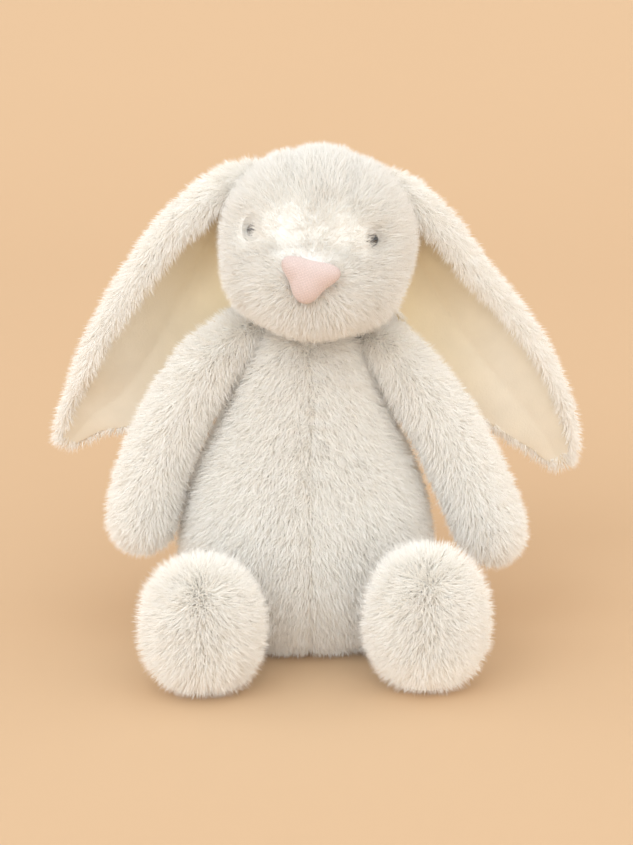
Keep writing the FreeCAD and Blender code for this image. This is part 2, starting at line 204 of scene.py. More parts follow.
def pile_material(name, root, tip):
    """Fibres that lighten from root to tip, each a little different: the strands' own UV map holds both."""
    material, tree, shader = new_material(name)
    uv = node(tree, "ShaderNodeUVMap", uv_map="OFBake")
    parts = node(tree, "ShaderNodeSeparateXYZ", Vector=uv.outputs["UV"])
    along = ramp(tree, parts.outputs["Y"], [(0.0, root), (0.45, tip), (1.0, tip)])
    each = node(tree, "ShaderNodeTexNoise", noise_dimensions="1D", Scale=60.0, Detail=1.0,
                W=parts.outputs["X"])
    tint = ramp(tree, each.outputs["Fac"], [(0.3, (0.955, 0.94, 0.915)), (0.65, (1.0, 1.0, 1.0))])
    set_inputs(shader, Base_Color=multiply(tree, along, tint), Roughness=0.85, Specular_IOR_Level=0.15)
    return material


def cloth_material(name, colour, weave=900.0, depth=0.25, sheen=0.1, roughness=0.85):
    """Knitted or woven cloth with mottling, a fine grain in its relief and a soft sheen."""
    material, tree, shader = new_material(name)
    mottle = ramp(tree, noise(tree, 70.0, 4.0), [(0.3, shade(colour, 0.93)), (0.7, colour)])
    add_bump(tree, shader, noise(tree, weave, 2.0), depth)
    set_inputs(shader, Base_Color=mottle, Roughness=roughness, Sheen_Weight=sheen, Sheen_Roughness=0.5)
    return material


def lining_material(name, colour):
    """Smooth short plush, with painted shade that makes it warmer and darker near the head."""
    material, tree, shader = new_material(name)
    # Painted shade: the colour is multiplied darker and warmer the nearer the lining lies to the head, by its
    # |x|.
    out = node(tree, "ShaderNodeMath", operation="ABSOLUTE", Value=object_axis(tree, "X"))
    away = node(tree, "ShaderNodeMapRange", From_Min=0.040, From_Max=0.082, Value=out.outputs["Value"])
    painted_hollow_shade = ramp(tree, away.outputs["Result"], [(0.0, (0.84, 0.76, 0.60)), (1.0, (1.0, 1.0, 1.0))])
    cloth = ramp(tree, noise(tree, 70.0, 4.0), [(0.3, shade(colour, 0.94)), (0.7, colour)])
    add_bump(tree, shader, noise(tree, 1400.0, 2.0), 0.35)
    set_inputs(shader, Base_Color=multiply(tree, cloth, painted_hollow_shade), Roughness=0.85, Sheen_Weight=0.6,
               Sheen_Roughness=0.5)
    return material


def nose_material(name, colour):
    """Fine plain weave, slightly shiny, with its threads crossing in the piece's UV map."""
    material, tree, shader = new_material(name)
    uv = node(tree, "ShaderNodeUVMap", uv_map="weave")
    waves = [node(tree, "ShaderNodeTexWave", bands_direction=direction, Scale=3.2, Distortion=2.5, Detail=1.0,
                  Detail_Scale=2.0, Vector=uv.outputs["UV"]) for direction in ("X", "Y")]
    crossing = number(tree, "MULTIPLY", *[wave.outputs["Fac"] for wave in waves])
    add_bump(tree, shader, crossing, 0.8)
    threads = ramp(tree, crossing, [(0.0, shade(colour, 0.84)), (0.8, shade(colour, 1.16))])
    set_inputs(shader, Base_Color=threads, Roughness=0.5, Sheen_Weight=0.5, Sheen_Roughness=0.35)
    return material


def plastic_material(name, colour, roughness, coat=0.0):
    """Moulded plastic with a faint unevenness in its gloss."""
    material, tree, shader = new_material(name)
    cloud = noise(tree, 400.0, 2.0)
    level = node(tree, "ShaderNodeMapRange", To_Min=roughness * 0.8, To_Max=roughness * 1.2, Value=cloud)
    set_inputs(shader, Base_Color=ramp(tree, cloud, [(0.2, shade(colour, 0.9)), (0.8, colour)]),
               Roughness=level.outputs["Result"], Coat_Weight=coat, Coat_Roughness=0.04)
    return material


def sweep_material(name, colour):
    """Matt paper with the faintest grain, darkened by painted shade where it rises behind the toy."""
    material, tree, shader = new_material(name)
    rise = node(tree, "ShaderNodeMapRange", From_Min=0.0, From_Max=1.0, Value=object_axis(tree, "Z"))
    # Painted shade: the colour falls to 74 % towards the top of the wall.
    height = ramp(tree, rise.outputs["Result"], [(0.0, colour), (1.0, shade(colour, 0.74))])
    grain = ramp(tree, noise(tree, 3.0, 2.0), [(0.2, (0.985, 0.985, 0.985)), (0.8, (1.0, 1.0, 1.0))])
    set_inputs(shader, Base_Color=multiply(tree, height, grain), Roughness=0.9, Specular_IOR_Level=0.1)
    return material


def make_materials():
    paint = colours()
    tip, root = tuple(paint.tip), tuple(paint.root)
    return {
        "pile": pile_material("long pile", root, tip),
        # Painted shade: the head's pile is the same pile darkened to 93.5 %, standing in for dimmer light on
        # the head.
        "head pile painted shade": pile_material("head pile painted shade", shade(root, 0.935), shade(tip, 0.935)),
        # Painted shade: the backing is the pile's tip colour darkened to 80 %, for the shade deep among the
        # strands.
        "backing": cloth_material("pile backing painted shade", shade(tip, 0.80)),
        "lining": lining_material("ear lining", tuple(paint.lining)),
        "nose": nose_material("woven nose", tuple(paint.nose)),
        "eye": plastic_material("eye plastic", (0.012, 0.011, 0.012), 0.08, coat=0.6),
        "washer": plastic_material("washer plastic", (0.8, 0.8, 0.77), 0.5),
        "stuffing": cloth_material("fibre filling", (0.9, 0.9, 0.88), weave=500.0, depth=0.8),
        "pouch": cloth_material("pouch cloth", (0.82, 0.81, 0.78), weave=1600.0),
        "beans": plastic_material("bean plastic", (0.8, 0.8, 0.77), 0.55),
        "thread": cloth_material("thread", (0.85, 0.82, 0.76), weave=2500.0, sheen=0.2),
        "label": cloth_material("label ribbon", (0.88, 0.88, 0.86), weave=2200.0, sheen=0.5, roughness=0.5),
        "sweep": sweep_material("paper sweep", tuple(paint.floor)),
    }


# ---------------------------------------------------------------- forms
def mesh_object(name, mesh):
    made = bpy.data.objects.new(name, mesh)
    bpy.context.scene.collection.objects.link(made)
    return made


def as_object(name, form, material=None, smooth=True):
    """The form as an object of its own, at the origin."""
    mesh = bpy.data.meshes.new(name)
    form.to_mesh(mesh)
    form.free()
    if material:
        mesh.materials.append(MATERIALS[material])
    mesh.polygons.foreach_set("use_smooth", [smooth] * len(mesh.polygons))
    return mesh_object(name, mesh)


def blob(centre, radii, power=2.0, turn=None, steps=40):
    """A rounded body: an ellipsoid at power 2, boxier above it."""
    form = bmesh.new()
    bmesh.ops.create_uvsphere(form, u_segments=steps, v_segments=steps // 2, radius=1.0)
    for vertex in form.verts:
        reach = sum(abs(c) ** power for c in vertex.co) ** (-1 / power)
        point = Vector(c * reach * r for c, r in zip(vertex.co, radii))
        vertex.co = (turn @ point if turn else point) + Vector(centre)
    return form


def ring_of_faces(form, low, high):
    """Faces between two closed rows of corners."""
    for k in range(len(low)):
        form.faces.new((low[k], low[(k + 1) % len(low)], high[(k + 1) % len(low)], high[k]))


def tube(stations, steps=32):
    """A closed body through rings: each station is (centre, half width, half depth, across, up)."""
    form = bmesh.new()
    rings = []
    for centre, width, depth, across, up in stations:
        angles = [2 * math.pi * k / steps for k in range(steps)]
        rings.append([form.verts.new(centre + across * width * math.cos(a) + up * depth * math.sin(a))
                      for a in angles])
    for low, high in zip(rings, rings[1:]):
        ring_of_faces(form, low, high)
    form.faces.new(list(reversed(rings[0])))
    form.faces.new(rings[-1])
    bmesh.ops.recalc_face_normals(form, faces=form.faces)
    return form


def apply_modifiers(obj):
    """The evaluated mesh takes the place of the object's own, and every modifier goes."""
    mesh = bpy.data.meshes.new_from_object(obj.evaluated_get(bpy.context.evaluated_depsgraph_get()))
    obj.modifiers.clear()
    obj.data = mesh
    return obj


def weld(name, forms, smoothing=8):
    """One closed skin over overlapping forms."""
    joined = bpy.data.meshes.new(name)
    whole = bmesh.new()
    for form in forms:
        part = bpy.data.meshes.new("part")
        form.to_mesh(part)
        form.free()
        whole.from_mesh(part)
        bpy.data.meshes.remove(part)
    whole.to_mesh(joined)
    whole.free()
    obj = mesh_object(name, joined)
    remesh = obj.modifiers.new("skin", "REMESH")
    remesh.mode, remesh.voxel_size = "VOXEL", sizes().voxel
    smooth = obj.modifiers.new("smooth", "SMOOTH")
    smooth.factor, smooth.iterations = 0.5, smoothing
    return apply_modifiers(obj)


def points_of(mesh, field="co"):
    flat = np.empty(len(mesh.vertices) * 3)
    mesh.vertices.foreach_get(field, flat)
    return flat.reshape(-1, 3)


def gap_to(points, place, stretch=(1, 1, 1)):
    """Distance of each point from a place."""
    return np.linalg.norm((points - np.array(place)) * stretch, axis=1)


def bell(distances, width):
    """1 at no distance, falling off over the width."""
    return np.exp(-((distances / width) ** 2))


def set_points(mesh, points):
    mesh.vertices.foreach_set("co", points.astype(np.float32).ravel())
    mesh.update()


def unit(vectors):
    return vectors / np.maximum(np.linalg.norm(vectors, axis=1, keepdims=True), 1e-9)


FILLING_PRESSURE = 4.0
FILLING_FRAMES = 14
SEAM_WIDTH, SEAM_DEPTH = 3.0 * MM, 1.9 * MM


def stuff(obj, seams):
    """Blow the cover out against its seams as the filling does, then draw each seam in a little.

    seams is a list of functions from points to their distance from a seam.
    """
    mesh = obj.data
    start = points_of(mesh)
    near = np.min([seam(start) for seam in seams], axis=0)
    group = obj.vertex_groups.new(name="seams")
    for index in np.flatnonzero(near < sizes().voxel * 0.8):
        group.add([int(index)], 1.0, "REPLACE")
    cloth = obj.modifiers.new("filling", "CLOTH")
    settings = cloth.settings
    settings.vertex_group_mass = group.name
    settings.use_pressure, settings.uniform_pressure_force = True, FILLING_PRESSURE
    settings.effector_weights.gravity = 0.0
    settings.quality = 4
    for step in range(1, FILLING_FRAMES + 1):
        bpy.context.scene.frame_set(step)
    apply_modifiers(obj)
    bpy.context.scene.frame_set(1)
    obj.vertex_groups.clear()
    mesh = obj.data
    moved = points_of(mesh) - start
    reach = np.linalg.norm(moved, axis=1, keepdims=True)
    start = start + moved * np.minimum(1.0, sizes().swell / np.maximum(reach, 1e-9))
    normals = points_of(mesh, "normal")
    points = start - normals * bell(near, SEAM_WIDTH)[:, None] * SEAM_DEPTH
    points[:, 2] = np.maximum(points[:, 2], 0.0)
    set_points(mesh, points)
    return obj


def finish_cover(obj, body, nodes):
    """Smooth, coat and attach a stuffed cover, hiding the CAD nodes it replaces; body is None for one that is
    blended over a joint.
    """
    rounding = obj.modifiers.new("rounding", "SUBSURF")
    rounding.levels = rounding.render_levels = 1
    apply_modifiers(obj)
    obj.data.materials.clear()
    obj.data.materials.append(MATERIALS["backing"])
    obj.data.polygons.foreach_set("use_smooth", [True] * len(obj.data.polygons))
    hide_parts(*nodes)
    if body:
        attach(obj, body)
    return obj


# ---------------------------------------------------------------- pile
def named(tree, name, kind="FLOAT_VECTOR"):
    """The output of a named attribute."""
    made = node(tree, "GeometryNodeInputNamedAttribute", data_type=kind, Name=name)
    return next(o for o in made.outputs if o.enabled and o.name == "Attribute")


def store(tree, geometry, name, value, kind="FLOAT_VECTOR", domain="POINT"):
    """The geometry with a value stored on it under a name."""
    made = node(tree, "GeometryNodeStoreNamedAttribute", data_type=kind, domain=domain, Name=name,
                Geometry=geometry)
    tree.links.new(value, next(i for i in made.inputs if i.enabled and i.name == "Value"))
    return made.outputs["Geometry"]


def vector_math(tree, operation, first, second=None, scale=None):
    made = node(tree, "ShaderNodeVectorMath", operation=operation)
    tree.links.new(first, made.inputs[0])
    if isinstance(second, bpy.types.NodeSocket):
        tree.links.new(second, made.inputs[1])
    elif second is not None:
        made.inputs[1].default_value = second
    if scale is not None:
        tree.links.new(scale, made.inputs["Scale"])
    return made.outputs["Value" if operation == "DOT_PRODUCT" else "Vector"]


def number(tree, operation, *values):
    made = node(tree, "ShaderNodeMath", operation=operation)
    for socket, value in zip(made.inputs, values):
        if isinstance(value, bpy.types.NodeSocket):
            tree.links.new(value, socket)
        else:
            socket.default_value = value
    return made.outputs["Value"]


def random_between(tree, low, high, seed, kind="FLOAT"):
    """A random value for each point, from the seed."""
    made = node(tree, "FunctionNodeRandomValue", data_type=kind)
    for socket in [i for i in made.inputs if i.enabled]:
        if socket.name == "Seed":
            tree.links.new(seed, socket)
        elif socket.name in ("Min", "Max"):
            socket.default_value = low if socket.name == "Min" else high
    return next(o for o in made.outputs if o.enabled)


PILE_INPUTS = {name: "NodeSocketFloat" for name in ("Density", "Length", "Radius", "Lean", "Ruffle", "Stray",
                                                    "Clump", "Gather", "Floor")}
PILE_INPUTS.update(Seed="NodeSocketInt", Material="NodeSocketMaterial")
PILE_LAYERS = ("rise", "comb", "root", "towards", "nap", "beside", "along", "tint")


def pile_tree():
    """Strands on a panel: closed three-sided spikes, combed, gathered into clumps and kept off the floor."""
    tree = bpy.data.node_groups.new("pile", "GeometryNodeTree")
    tree.interface.new_socket("Geometry", in_out="INPUT", socket_type="NodeSocketGeometry")
    for name, kind in PILE_INPUTS.items():
        tree.interface.new_socket(name, in_out="INPUT", socket_type=kind)
    tree.interface.new_socket("Geometry", in_out="OUTPUT", socket_type="NodeSocketGeometry")
    given = node(tree, "NodeGroupInput").outputs
    position = node(tree, "GeometryNodeInputPosition").outputs["Position"]

    # Roots over the whole panel.
    scatter = node(tree, "GeometryNodeDistributePointsOnFaces", distribute_method="RANDOM",
                   Mesh=given["Geometry"], Density=given["Density"], Seed=given["Seed"])
    roots = store(tree, scatter.outputs["Points"], "root", position)

    # Where each strand points: off the cloth, with the comb, and ruffled.
    ruffle = node(tree, "ShaderNodeTexNoise", Scale=230.0, Detail=2.5, Vector=position)
    centred = vector_math(tree, "SUBTRACT", ruffle.outputs["Color"], (0.5, 0.5, 0.5))
    single = random_between(tree, (-0.5, -0.5, -0.5), (0.5, 0.5, 0.5), given["Seed"], "FLOAT_VECTOR")
    direction = named(tree, "rise")
    for part, share in ((named(tree, "comb"), "Lean"), (centred, "Ruffle"), (single, "Stray")):
        direction = vector_math(tree, "ADD", direction, vector_math(tree, "SCALE", part, scale=given[share]))
    aim = node(tree, "FunctionNodeAlignRotationToVector", axis="Z",
               Vector=vector_math(tree, "NORMALIZE", direction))
    about = node(tree, "FunctionNodeAxisAngleToRotation",
                 Angle=random_between(tree, 0.0, 2 * math.pi, given["Seed"]))
    spin = node(tree, "FunctionNodeRotateRotation", rotation_space="LOCAL",
                Rotation=aim.outputs["Rotation"], Rotate_By=about.outputs["Rotation"])

    # Clump centres, held in the cloth's own plane.
    cells = node(tree, "ShaderNodeTexVoronoi", Randomness=1.0, Vector=position,
                 Scale=number(tree, "DIVIDE", 1.0, given["Clump"]))
    towards = vector_math(tree, "SUBTRACT", cells.outputs["Position"], position)
    lift = vector_math(tree, "DOT_PRODUCT", towards, named(tree, "rise"))
    off_plane = vector_math(tree, "SCALE", named(tree, "rise"), scale=lift)
    roots = store(tree, roots, "towards", vector_math(tree, "SUBTRACT", towards, off_plane))
    roots = store(tree, roots, "tint", random_between(tree, 0.02, 0.95, given["Seed"]), "FLOAT")

    # One spike on each root.
    spike = node(tree, "GeometryNodeMeshCone", fill_type="NGON", Vertices=3, Radius_Top=0.0,
                 Radius_Bottom=1.0, Depth=1.0)
    local = node(tree, "ShaderNodeSeparateXYZ",
                 Vector=node(tree, "GeometryNodeInputPosition").outputs["Position"])
    strand = store(tree, spike.outputs["Mesh"], "along", local.outputs["Z"], "FLOAT")
    strand = store(tree, strand, "beside", local.outputs["X"], "FLOAT")
    length = number(tree, "MULTIPLY", random_between(tree, 0.72, 1.12, given["Seed"]),
                    named(tree, "nap", "FLOAT"))
    size = node(tree, "ShaderNodeCombineXYZ", X=given["Radius"], Y=given["Radius"],
                Z=number(tree, "MULTIPLY", length, given["Length"]))
    plant = node(tree, "GeometryNodeInstanceOnPoints", Points=roots, Instance=strand,
                 Rotation=spin.outputs["Rotation"], Scale=size.outputs["Vector"])
    real = node(tree, "GeometryNodeRealizeInstances", Geometry=plant.outputs["Instances"])

    # The tips gather towards their clump, and nothing goes below the floor.
    pull = number(tree, "MULTIPLY", named(tree, "along", "FLOAT"), given["Gather"])
    gather = node(tree, "GeometryNodeSetPosition", Geometry=real.outputs["Geometry"],
                  Offset=vector_math(tree, "SCALE", named(tree, "towards"), scale=pull))
    low = node(tree, "ShaderNodeCombineXYZ", X=-10.0, Y=-10.0, Z=given["Floor"])
    place = node(tree, "GeometryNodeInputPosition").outputs["Position"]
    settle = node(tree, "GeometryNodeSetPosition", Geometry=gather.outputs["Geometry"],
                  Position=vector_math(tree, "MAXIMUM", place, low.outputs["Vector"]))

    # The strands' UV map: a tint for each one across, and its length up.
    across = number(tree, "MULTIPLY", named(tree, "beside", "FLOAT"), 0.015)
    chart = node(tree, "ShaderNodeCombineXYZ", X=number(tree, "ADD", named(tree, "tint", "FLOAT"), across),
                 Y=named(tree, "along", "FLOAT"))
    charted = store(tree, settle.outputs["Geometry"], "OFBake", chart.outputs["Vector"], "FLOAT2", "CORNER")
    coat = node(tree, "GeometryNodeSetMaterial", Geometry=charted, Material=given["Material"])
    node(tree, "NodeGroupOutput", Geometry=coat.outputs["Geometry"])
    return tree


def lay_attributes(obj, comb, nap=None):
    """Store on a cover its normals, its combing direction and how long its pile is, from 0 to 1."""
    mesh = obj.data
    points, normals = points_of(mesh), points_of(mesh, "normal")
    flow = comb(points) if callable(comb) else comb
    flow = flow - normals * np.sum(flow * normals, axis=1, keepdims=True)
    flow = flow / np.maximum(np.linalg.norm(flow, axis=1, keepdims=True), 1.0)
    lengths = np.ones(len(points)) if nap is None else np.clip(nap(points, normals), 0.05, 1.5)
    for name, kind, field, values in (("rise", "FLOAT_VECTOR", "vector", normals),
                                      ("comb", "FLOAT_VECTOR", "vector", flow),
                                      ("nap", "FLOAT", "value", lengths)):
        layer = mesh.attributes.get(name) or mesh.attributes.new(name, kind, "POINT")
        layer.data.foreach_set(field, np.asarray(values, np.float32).ravel())


FLOOR_GAP = 0.3 * MM                  # how near the floor a strand may come


def grow_pile(name, cover, body, length, where=None, coated=False, lean=0.85, ruffle=1.45, stray=1.0,
              density=1.05, clump=1.0, material="pile", radius=1.0):
    """The pile of one panel of a cover.

    where(points) picks the panel's faces by their centres, and coated keeps those of the second material.
    """
    panel = bmesh.new()
    panel.from_mesh(cover.data)
    if coated:
        bare = [face for face in panel.faces if face.material_index != 1]
        bmesh.ops.delete(panel, geom=bare, context="FACES")
    if where is not None:
        centres = np.array([face.calc_center_median() for face in panel.faces])
        keep = where(centres)
        unwanted = [face for face, kept in zip(panel.faces, keep) if not kept]
        bmesh.ops.delete(panel, geom=unwanted, context="FACES")
    obj = as_object(name, panel)
    tree = bpy.data.node_groups.get("pile") or pile_tree()
    grower = obj.modifiers.new("pile", "NODES")
    grower.node_group = tree
    size = sizes()
    given = {"Density": size.density * density, "Length": length, "Radius": size.strand * radius,
             "Lean": lean, "Ruffle": ruffle, "Stray": stray, "Clump": size.clump * clump, "Gather": 0.38,
             "Floor": FLOOR_GAP, "Seed": size.seed + len(bpy.data.objects), "Material": MATERIALS[material]}
    for item in tree.interface.items_tree:
        if item.in_out == "INPUT" and item.name in given:
            grower[item.identifier] = given[item.name]
    apply_modifiers(obj)
    obj.data.polygons.foreach_set("use_smooth", [False] * len(obj.data.polygons))
    for layer in PILE_LAYERS:
        if layer in obj.data.attributes:
            obj.data.attributes.remove(obj.data.attributes[layer])
    if body:
        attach(obj, body)
    return obj


# ---------------------------------------------------------------- torso
TORSO_X, SEAM_X = -4.5 * MM, -2.5 * MM
SEAT_EDGE = 0.8 * MM                  # no pile on the flat of the seat below this height
# Height, half width and half depth of each ring, from the seat up to the neck.
TORSO_RINGS = ((0, 36, 29), (5, 43, 34), (14, 49, 38), (28, 52.5, 41), (44, 52, 40.5), (62, 48.5, 38),
               (78, 43, 33.5), (92, 36, 29), (106, 29.5, 25.5), (120, 24.5, 22), (130, 21, 19), (138, 15, 15))


def torso_stations():
    across, up = Vector((1, 0, 0)), Vector((0, 1, 0))
    return [(Vector((TORSO_X, -1 * MM, z * MM)), w * MM, d * MM, across, up) for z, w, d in TORSO_RINGS]


def torso_comb(points):
    """Down, and away from the centre seams."""
    beside = points[:, 0] - SEAM_X
    away = np.sign(beside) * bell(beside, 9 * MM)
    return np.column_stack([away * 0.9, np.zeros(len(points)), -np.ones(len(points))])


def seat_nap(points, normals):
    """Pressed short under the seat."""
    return 1.0 - 0.7 * np.clip(-normals[:, 2] * 4 - 2.8, 0, 1) * (points[:, 2] < 9 * MM)


class RABBIT_OT_torso(bpy.types.Operator):
    """Stuffed torso cover with its pile, panel by panel"""

    bl_idname = "rabbit.torso"
    bl_label = "Torso"

    def execute(self, context):
        cover = weld("torso_cover", [tube(torso_stations())])
        stuff(cover, [lambda p: np.abs(p[:, 0] - SEAM_X), lambda p: np.abs(p[:, 1])])
        panels = [f"torso_panel_{face}_{side}" for face in ("front", "back") for side in SIDES]
        finish_cover(cover, "torso", panels + ["seat_panel"])
        lay_attributes(cover, torso_comb, seat_nap)
        for side, sign in SIDES.items():
            for face, front in (("front", -1), ("back", 1)):
                grow_pile(f"torso_pile_{face}_{side}", cover, "torso", sizes().body_pile,
                          where=lambda c: (sign * (c[:, 0] - SEAM_X) > 0) & (front * c[:, 1] > 0)
                          & (c[:, 2] > SEAT_EDGE))
        return {"FINISHED"}


# ---------------------------------------------------------------- head and face
HEAD_CENTRE = Vector((0.5, -7, 174.5)) * MM
HEAD_TURN = Matrix.Rotation(math.radians(-4), 3, "Z") @ Matrix.Rotation(math.radians(5), 3, "Y")


def head_point(x, y, z):
    """A place on the head, in millimetres from its centre before it is turned and tilted."""
    return HEAD_CENTRE + HEAD_TURN @ (Vector((x, y, z)) * MM)


def head_blob(x, y, z, radii, power):
    return blob(head_point(x, y, z), Vector(radii) * MM, power, HEAD_TURN)


GUSSET_HALF = 12 * MM
EYE_RADIUS, EYE_SUNK = 3.4 * MM, 5.3 * MM
NOSE = head_point(0.3, -45.9, -3.5)
EYES = {"left": head_point(25.7, -26.2, 9.0), "right": head_point(-28.6, -24.2, 7.2)}


def radial_comb(centre):
    return lambda points: unit(points - np.array(centre))


def head_nap(points, normals):
    """Short round the nose and the eyes."""
    lengths = np.ones(len(points))
    for place, reach, least in [(NOSE, 14 * MM, 0.78)] + [(eye, 6.0 * MM, 0.6) for eye in EYES.values()]:
        gap = gap_to(points, place)
        lengths = np.minimum(lengths, least + (1 - least) * np.clip(gap / reach - 0.6, 0, 1))
    return lengths


def head_comb(points):
    """Outwards from the nose, where it still stands upright, and away from each eye beside it."""
    flow = radial_comb(NOSE)(points) * np.tanh((gap_to(points, NOSE)[:, None] - 6 * MM) / (9 * MM))
    for eye in EYES.values():
        flow = flow + radial_comb(eye)(points) * bell(gap_to(points, eye)[:, None], 4 * MM) * 0.5
    return flow


class RABBIT_OT_head(bpy.types.Operator):
    """Stuffed head cover with its pile, panel by panel"""

    bl_idname = "rabbit.head"
    bl_label = "Head"

    def execute(self, context):
        skull = head_blob(0, 1, 0.5, (37.5, 35.5, 35.5), 2.05)
        muzzle = head_blob(0, -23, -12.5, (24, 21.5, 19.5), 2.1)
        cheeks = [head_blob(x, -11, -11.5, (20.5, 20, 19.5), 2.0) for x in (14.5, -14.5)]
        cover = weld("head_cover", [skull, muzzle, *cheeks], smoothing=14)
        back = np.array(HEAD_TURN.inverted())

        def in_head(points):
            return (points - np.array(HEAD_CENTRE)) @ back.T

        def strip(points):
            """On the gusset, above the nose."""
            local = in_head(points)
            return (np.abs(local[:, 0]) < GUSSET_HALF) & (local[:, 2] > -6 * MM)

        def coated(points):
            """Clear of the nose and of both eyes."""
            return (gap_to(points, NOSE, (1, 0.5, 1.3)) > 6.4 * MM) \
                & (np.min([gap_to(points, eye) for eye in EYES.values()], axis=0) > 2.6 * MM)

        stuff(cover, [lambda p: np.abs(np.abs(in_head(p)[:, 0]) - GUSSET_HALF)
                      + 1.0 * (in_head(p)[:, 2] < 0)])
        points = points_of(cover.data)
        for eye in EYES.values():
            inward = unit(np.array([eye - HEAD_CENTRE]))
            points = points - inward * bell(gap_to(points, eye)[:, None], 6.5 * MM) * 3.4 * MM
        set_points(cover.data, points)
        finish_cover(cover, "head", ["head_panel_left", "head_panel_right", "head_gusset"])
        lay_attributes(cover, head_comb, head_nap)
        # The head's pile takes the darker copy of the pile colour, a painted shade.
        fine = {"clump": 0.9, "ruffle": 1.4, "lean": 0.6, "stray": 0.9, "radius": 0.85,
                "material": "head pile painted shade"}
        grow_pile("head_pile_gusset", cover, "head", sizes().head_pile,
                  where=lambda c: strip(c) & coated(c), **fine)
        for side, sign in SIDES.items():
            grow_pile(f"head_pile_{side}", cover, "head", sizes().head_pile,
                      where=lambda c: ~strip(c) & coated(c) & (sign * in_head(c)[:, 0] > 0), **fine)
        return {"FINISHED"}


class RABBIT_OT_face(bpy.types.Operator):
    """Padded woven nose and two buried button eyes"""

    bl_idname = "rabbit.face"
    bl_label = "Face"

    def execute(self, context):
        nose = self.nose_pad()
        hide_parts("nose")
        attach(nose, "head")
        for side, eye in EYES.items():
            outward = (eye - HEAD_CENTRE).normalized()
            form = blob(eye - outward * EYE_SUNK, Vector((1, 1, 1)) * EYE_RADIUS, steps=32)
            dome = as_object(f"eye_dome_{side}", form, "eye")
            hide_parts(f"eye_{side}")
            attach(dome, "head")
        return {"FINISHED"}

    def nose_pad(self):
        """A triangle with bowed sides and rounded corners, domed in front and closed flat behind."""
        width, height, rise, rings, steps = 12.1 * MM, 8.7 * MM, 4.2 * MM, 10, 72
        form = bmesh.new()
        layers = []
        turn = HEAD_TURN @ Matrix.Rotation(math.radians(-20), 3, "X")
        turn = turn @ Matrix.Rotation(math.radians(7), 3, "Y")

        def edge(angle):
            """Distance from the middle to the edge: a triangle that points down, its corners rounded."""
            lobe = math.cos(3 * (angle + math.pi / 2))
            return 1.0 / (1.0 - 0.22 * lobe) * 0.85

        def point(angle, share, front):
            reach = edge(angle) * share
            x, z = width * reach * math.cos(angle), height * reach * math.sin(angle) * 1.12
            return NOSE + turn @ Vector((x, -front, z - 1.2 * MM))

        for ring in range(rings, 0, -1):
            share = ring / rings
            front = rise * (1 - share ** 2.6) ** 0.8
            layers.append([form.verts.new(point(2 * math.pi * k / steps, share, front))
                           for k in range(steps)])
        for outer, inner in zip(layers, layers[1:]):
            ring_of_faces(form, outer, inner)
        tip = form.verts.new(point(0, 0, rise))
        for k in range(steps):
            form.faces.new((layers[-1][k], layers[-1][(k + 1) % steps], tip))
        back = [form.verts.new(point(2 * math.pi * k / steps, 0.9, -4 * MM)) for k in range(steps)]
        ring_of_faces(form, back, layers[0])
        form.faces.new(back)
        bmesh.ops.recalc_face_normals(form, faces=form.faces)
        weave = form.loops.layers.uv.new("weave")
        flat = turn.inverted()
        for face in form.faces:
            for loop in face.loops:
                local = flat @ (loop.vert.co - NOSE)
                loop[weave].uv = (local.x / (6 * MM), local.z / (6 * MM))
        return as_object("nose_pad", form, "nose")


# ---------------------------------------------------------------- ears
# Distance along, out from the middle, height and half width, from inside the head to the tip.
EAR_LINES = {
    "left": ((-18, 13, 186, 10), (4, 30.5, 186, 13), (24, 42.5, 171.5, 17), (48, 54, 149.5, 20.5),
             (74, 68, 127, 23), (98, 81, 107.5, 22), (120, 95, 89, 16.5), (138, 105, 74.5, 10.5),
             (149, 109.5, 65.5, 6.5), (155, 112, 61, 3)),
    "right": ((-18, 13, 188, 10), (4, 33, 189, 13.5), (24, 47, 174.5, 19), (48, 60.5, 150, 23),
              (78, 75.5, 120.5, 24.5), (104, 89, 98.5, 19.5), (124, 102, 86, 11), (140, 109.5, 76.5, 6),
              (150, 113.5, 71.5, 3)),
}
EAR_ROOT_Y, EAR_BACKWARD = 11, 0.235     # where an ear starts, and how it falls back along its length
EAR_TURN = {"left": 15, "right": 25}      # how far each ear's inside is turned towards the head, in degrees


def ear_stations(side, count=48):
    """Centre, half width and frame of the ear along its length."""
    sign = SIDES[side]
    keys = np.array(EAR_LINES[side], float)
    spots = np.linspace(keys[0, 0], keys[-1, 0], count)
    lines = [catmull(keys[:, 0], keys[:, k], spots) for k in (1, 2, 3)]
    turn = math.radians(EAR_TURN[side])
    stations = []
    for index, spot in enumerate(spots):
        centre = Vector((sign * lines[0][index], EAR_ROOT_Y + EAR_BACKWARD * max(spot, 0),
                         lines[1][index])) * MM
        stations.append([centre, max(lines[2][index], 2.5) * MM])
    for index, station in enumerate(stations):
        before, after = stations[max(index - 1, 0)][0], stations[min(index + 1, count - 1)][0]
        along = (after - before).normalized()
        facing = Vector((-sign * math.sin(turn), -math.cos(turn), 0.0))
        facing = (facing - along * facing.dot(along)).normalized()
        station += [along, facing, facing.cross(along) * sign]
    return stations


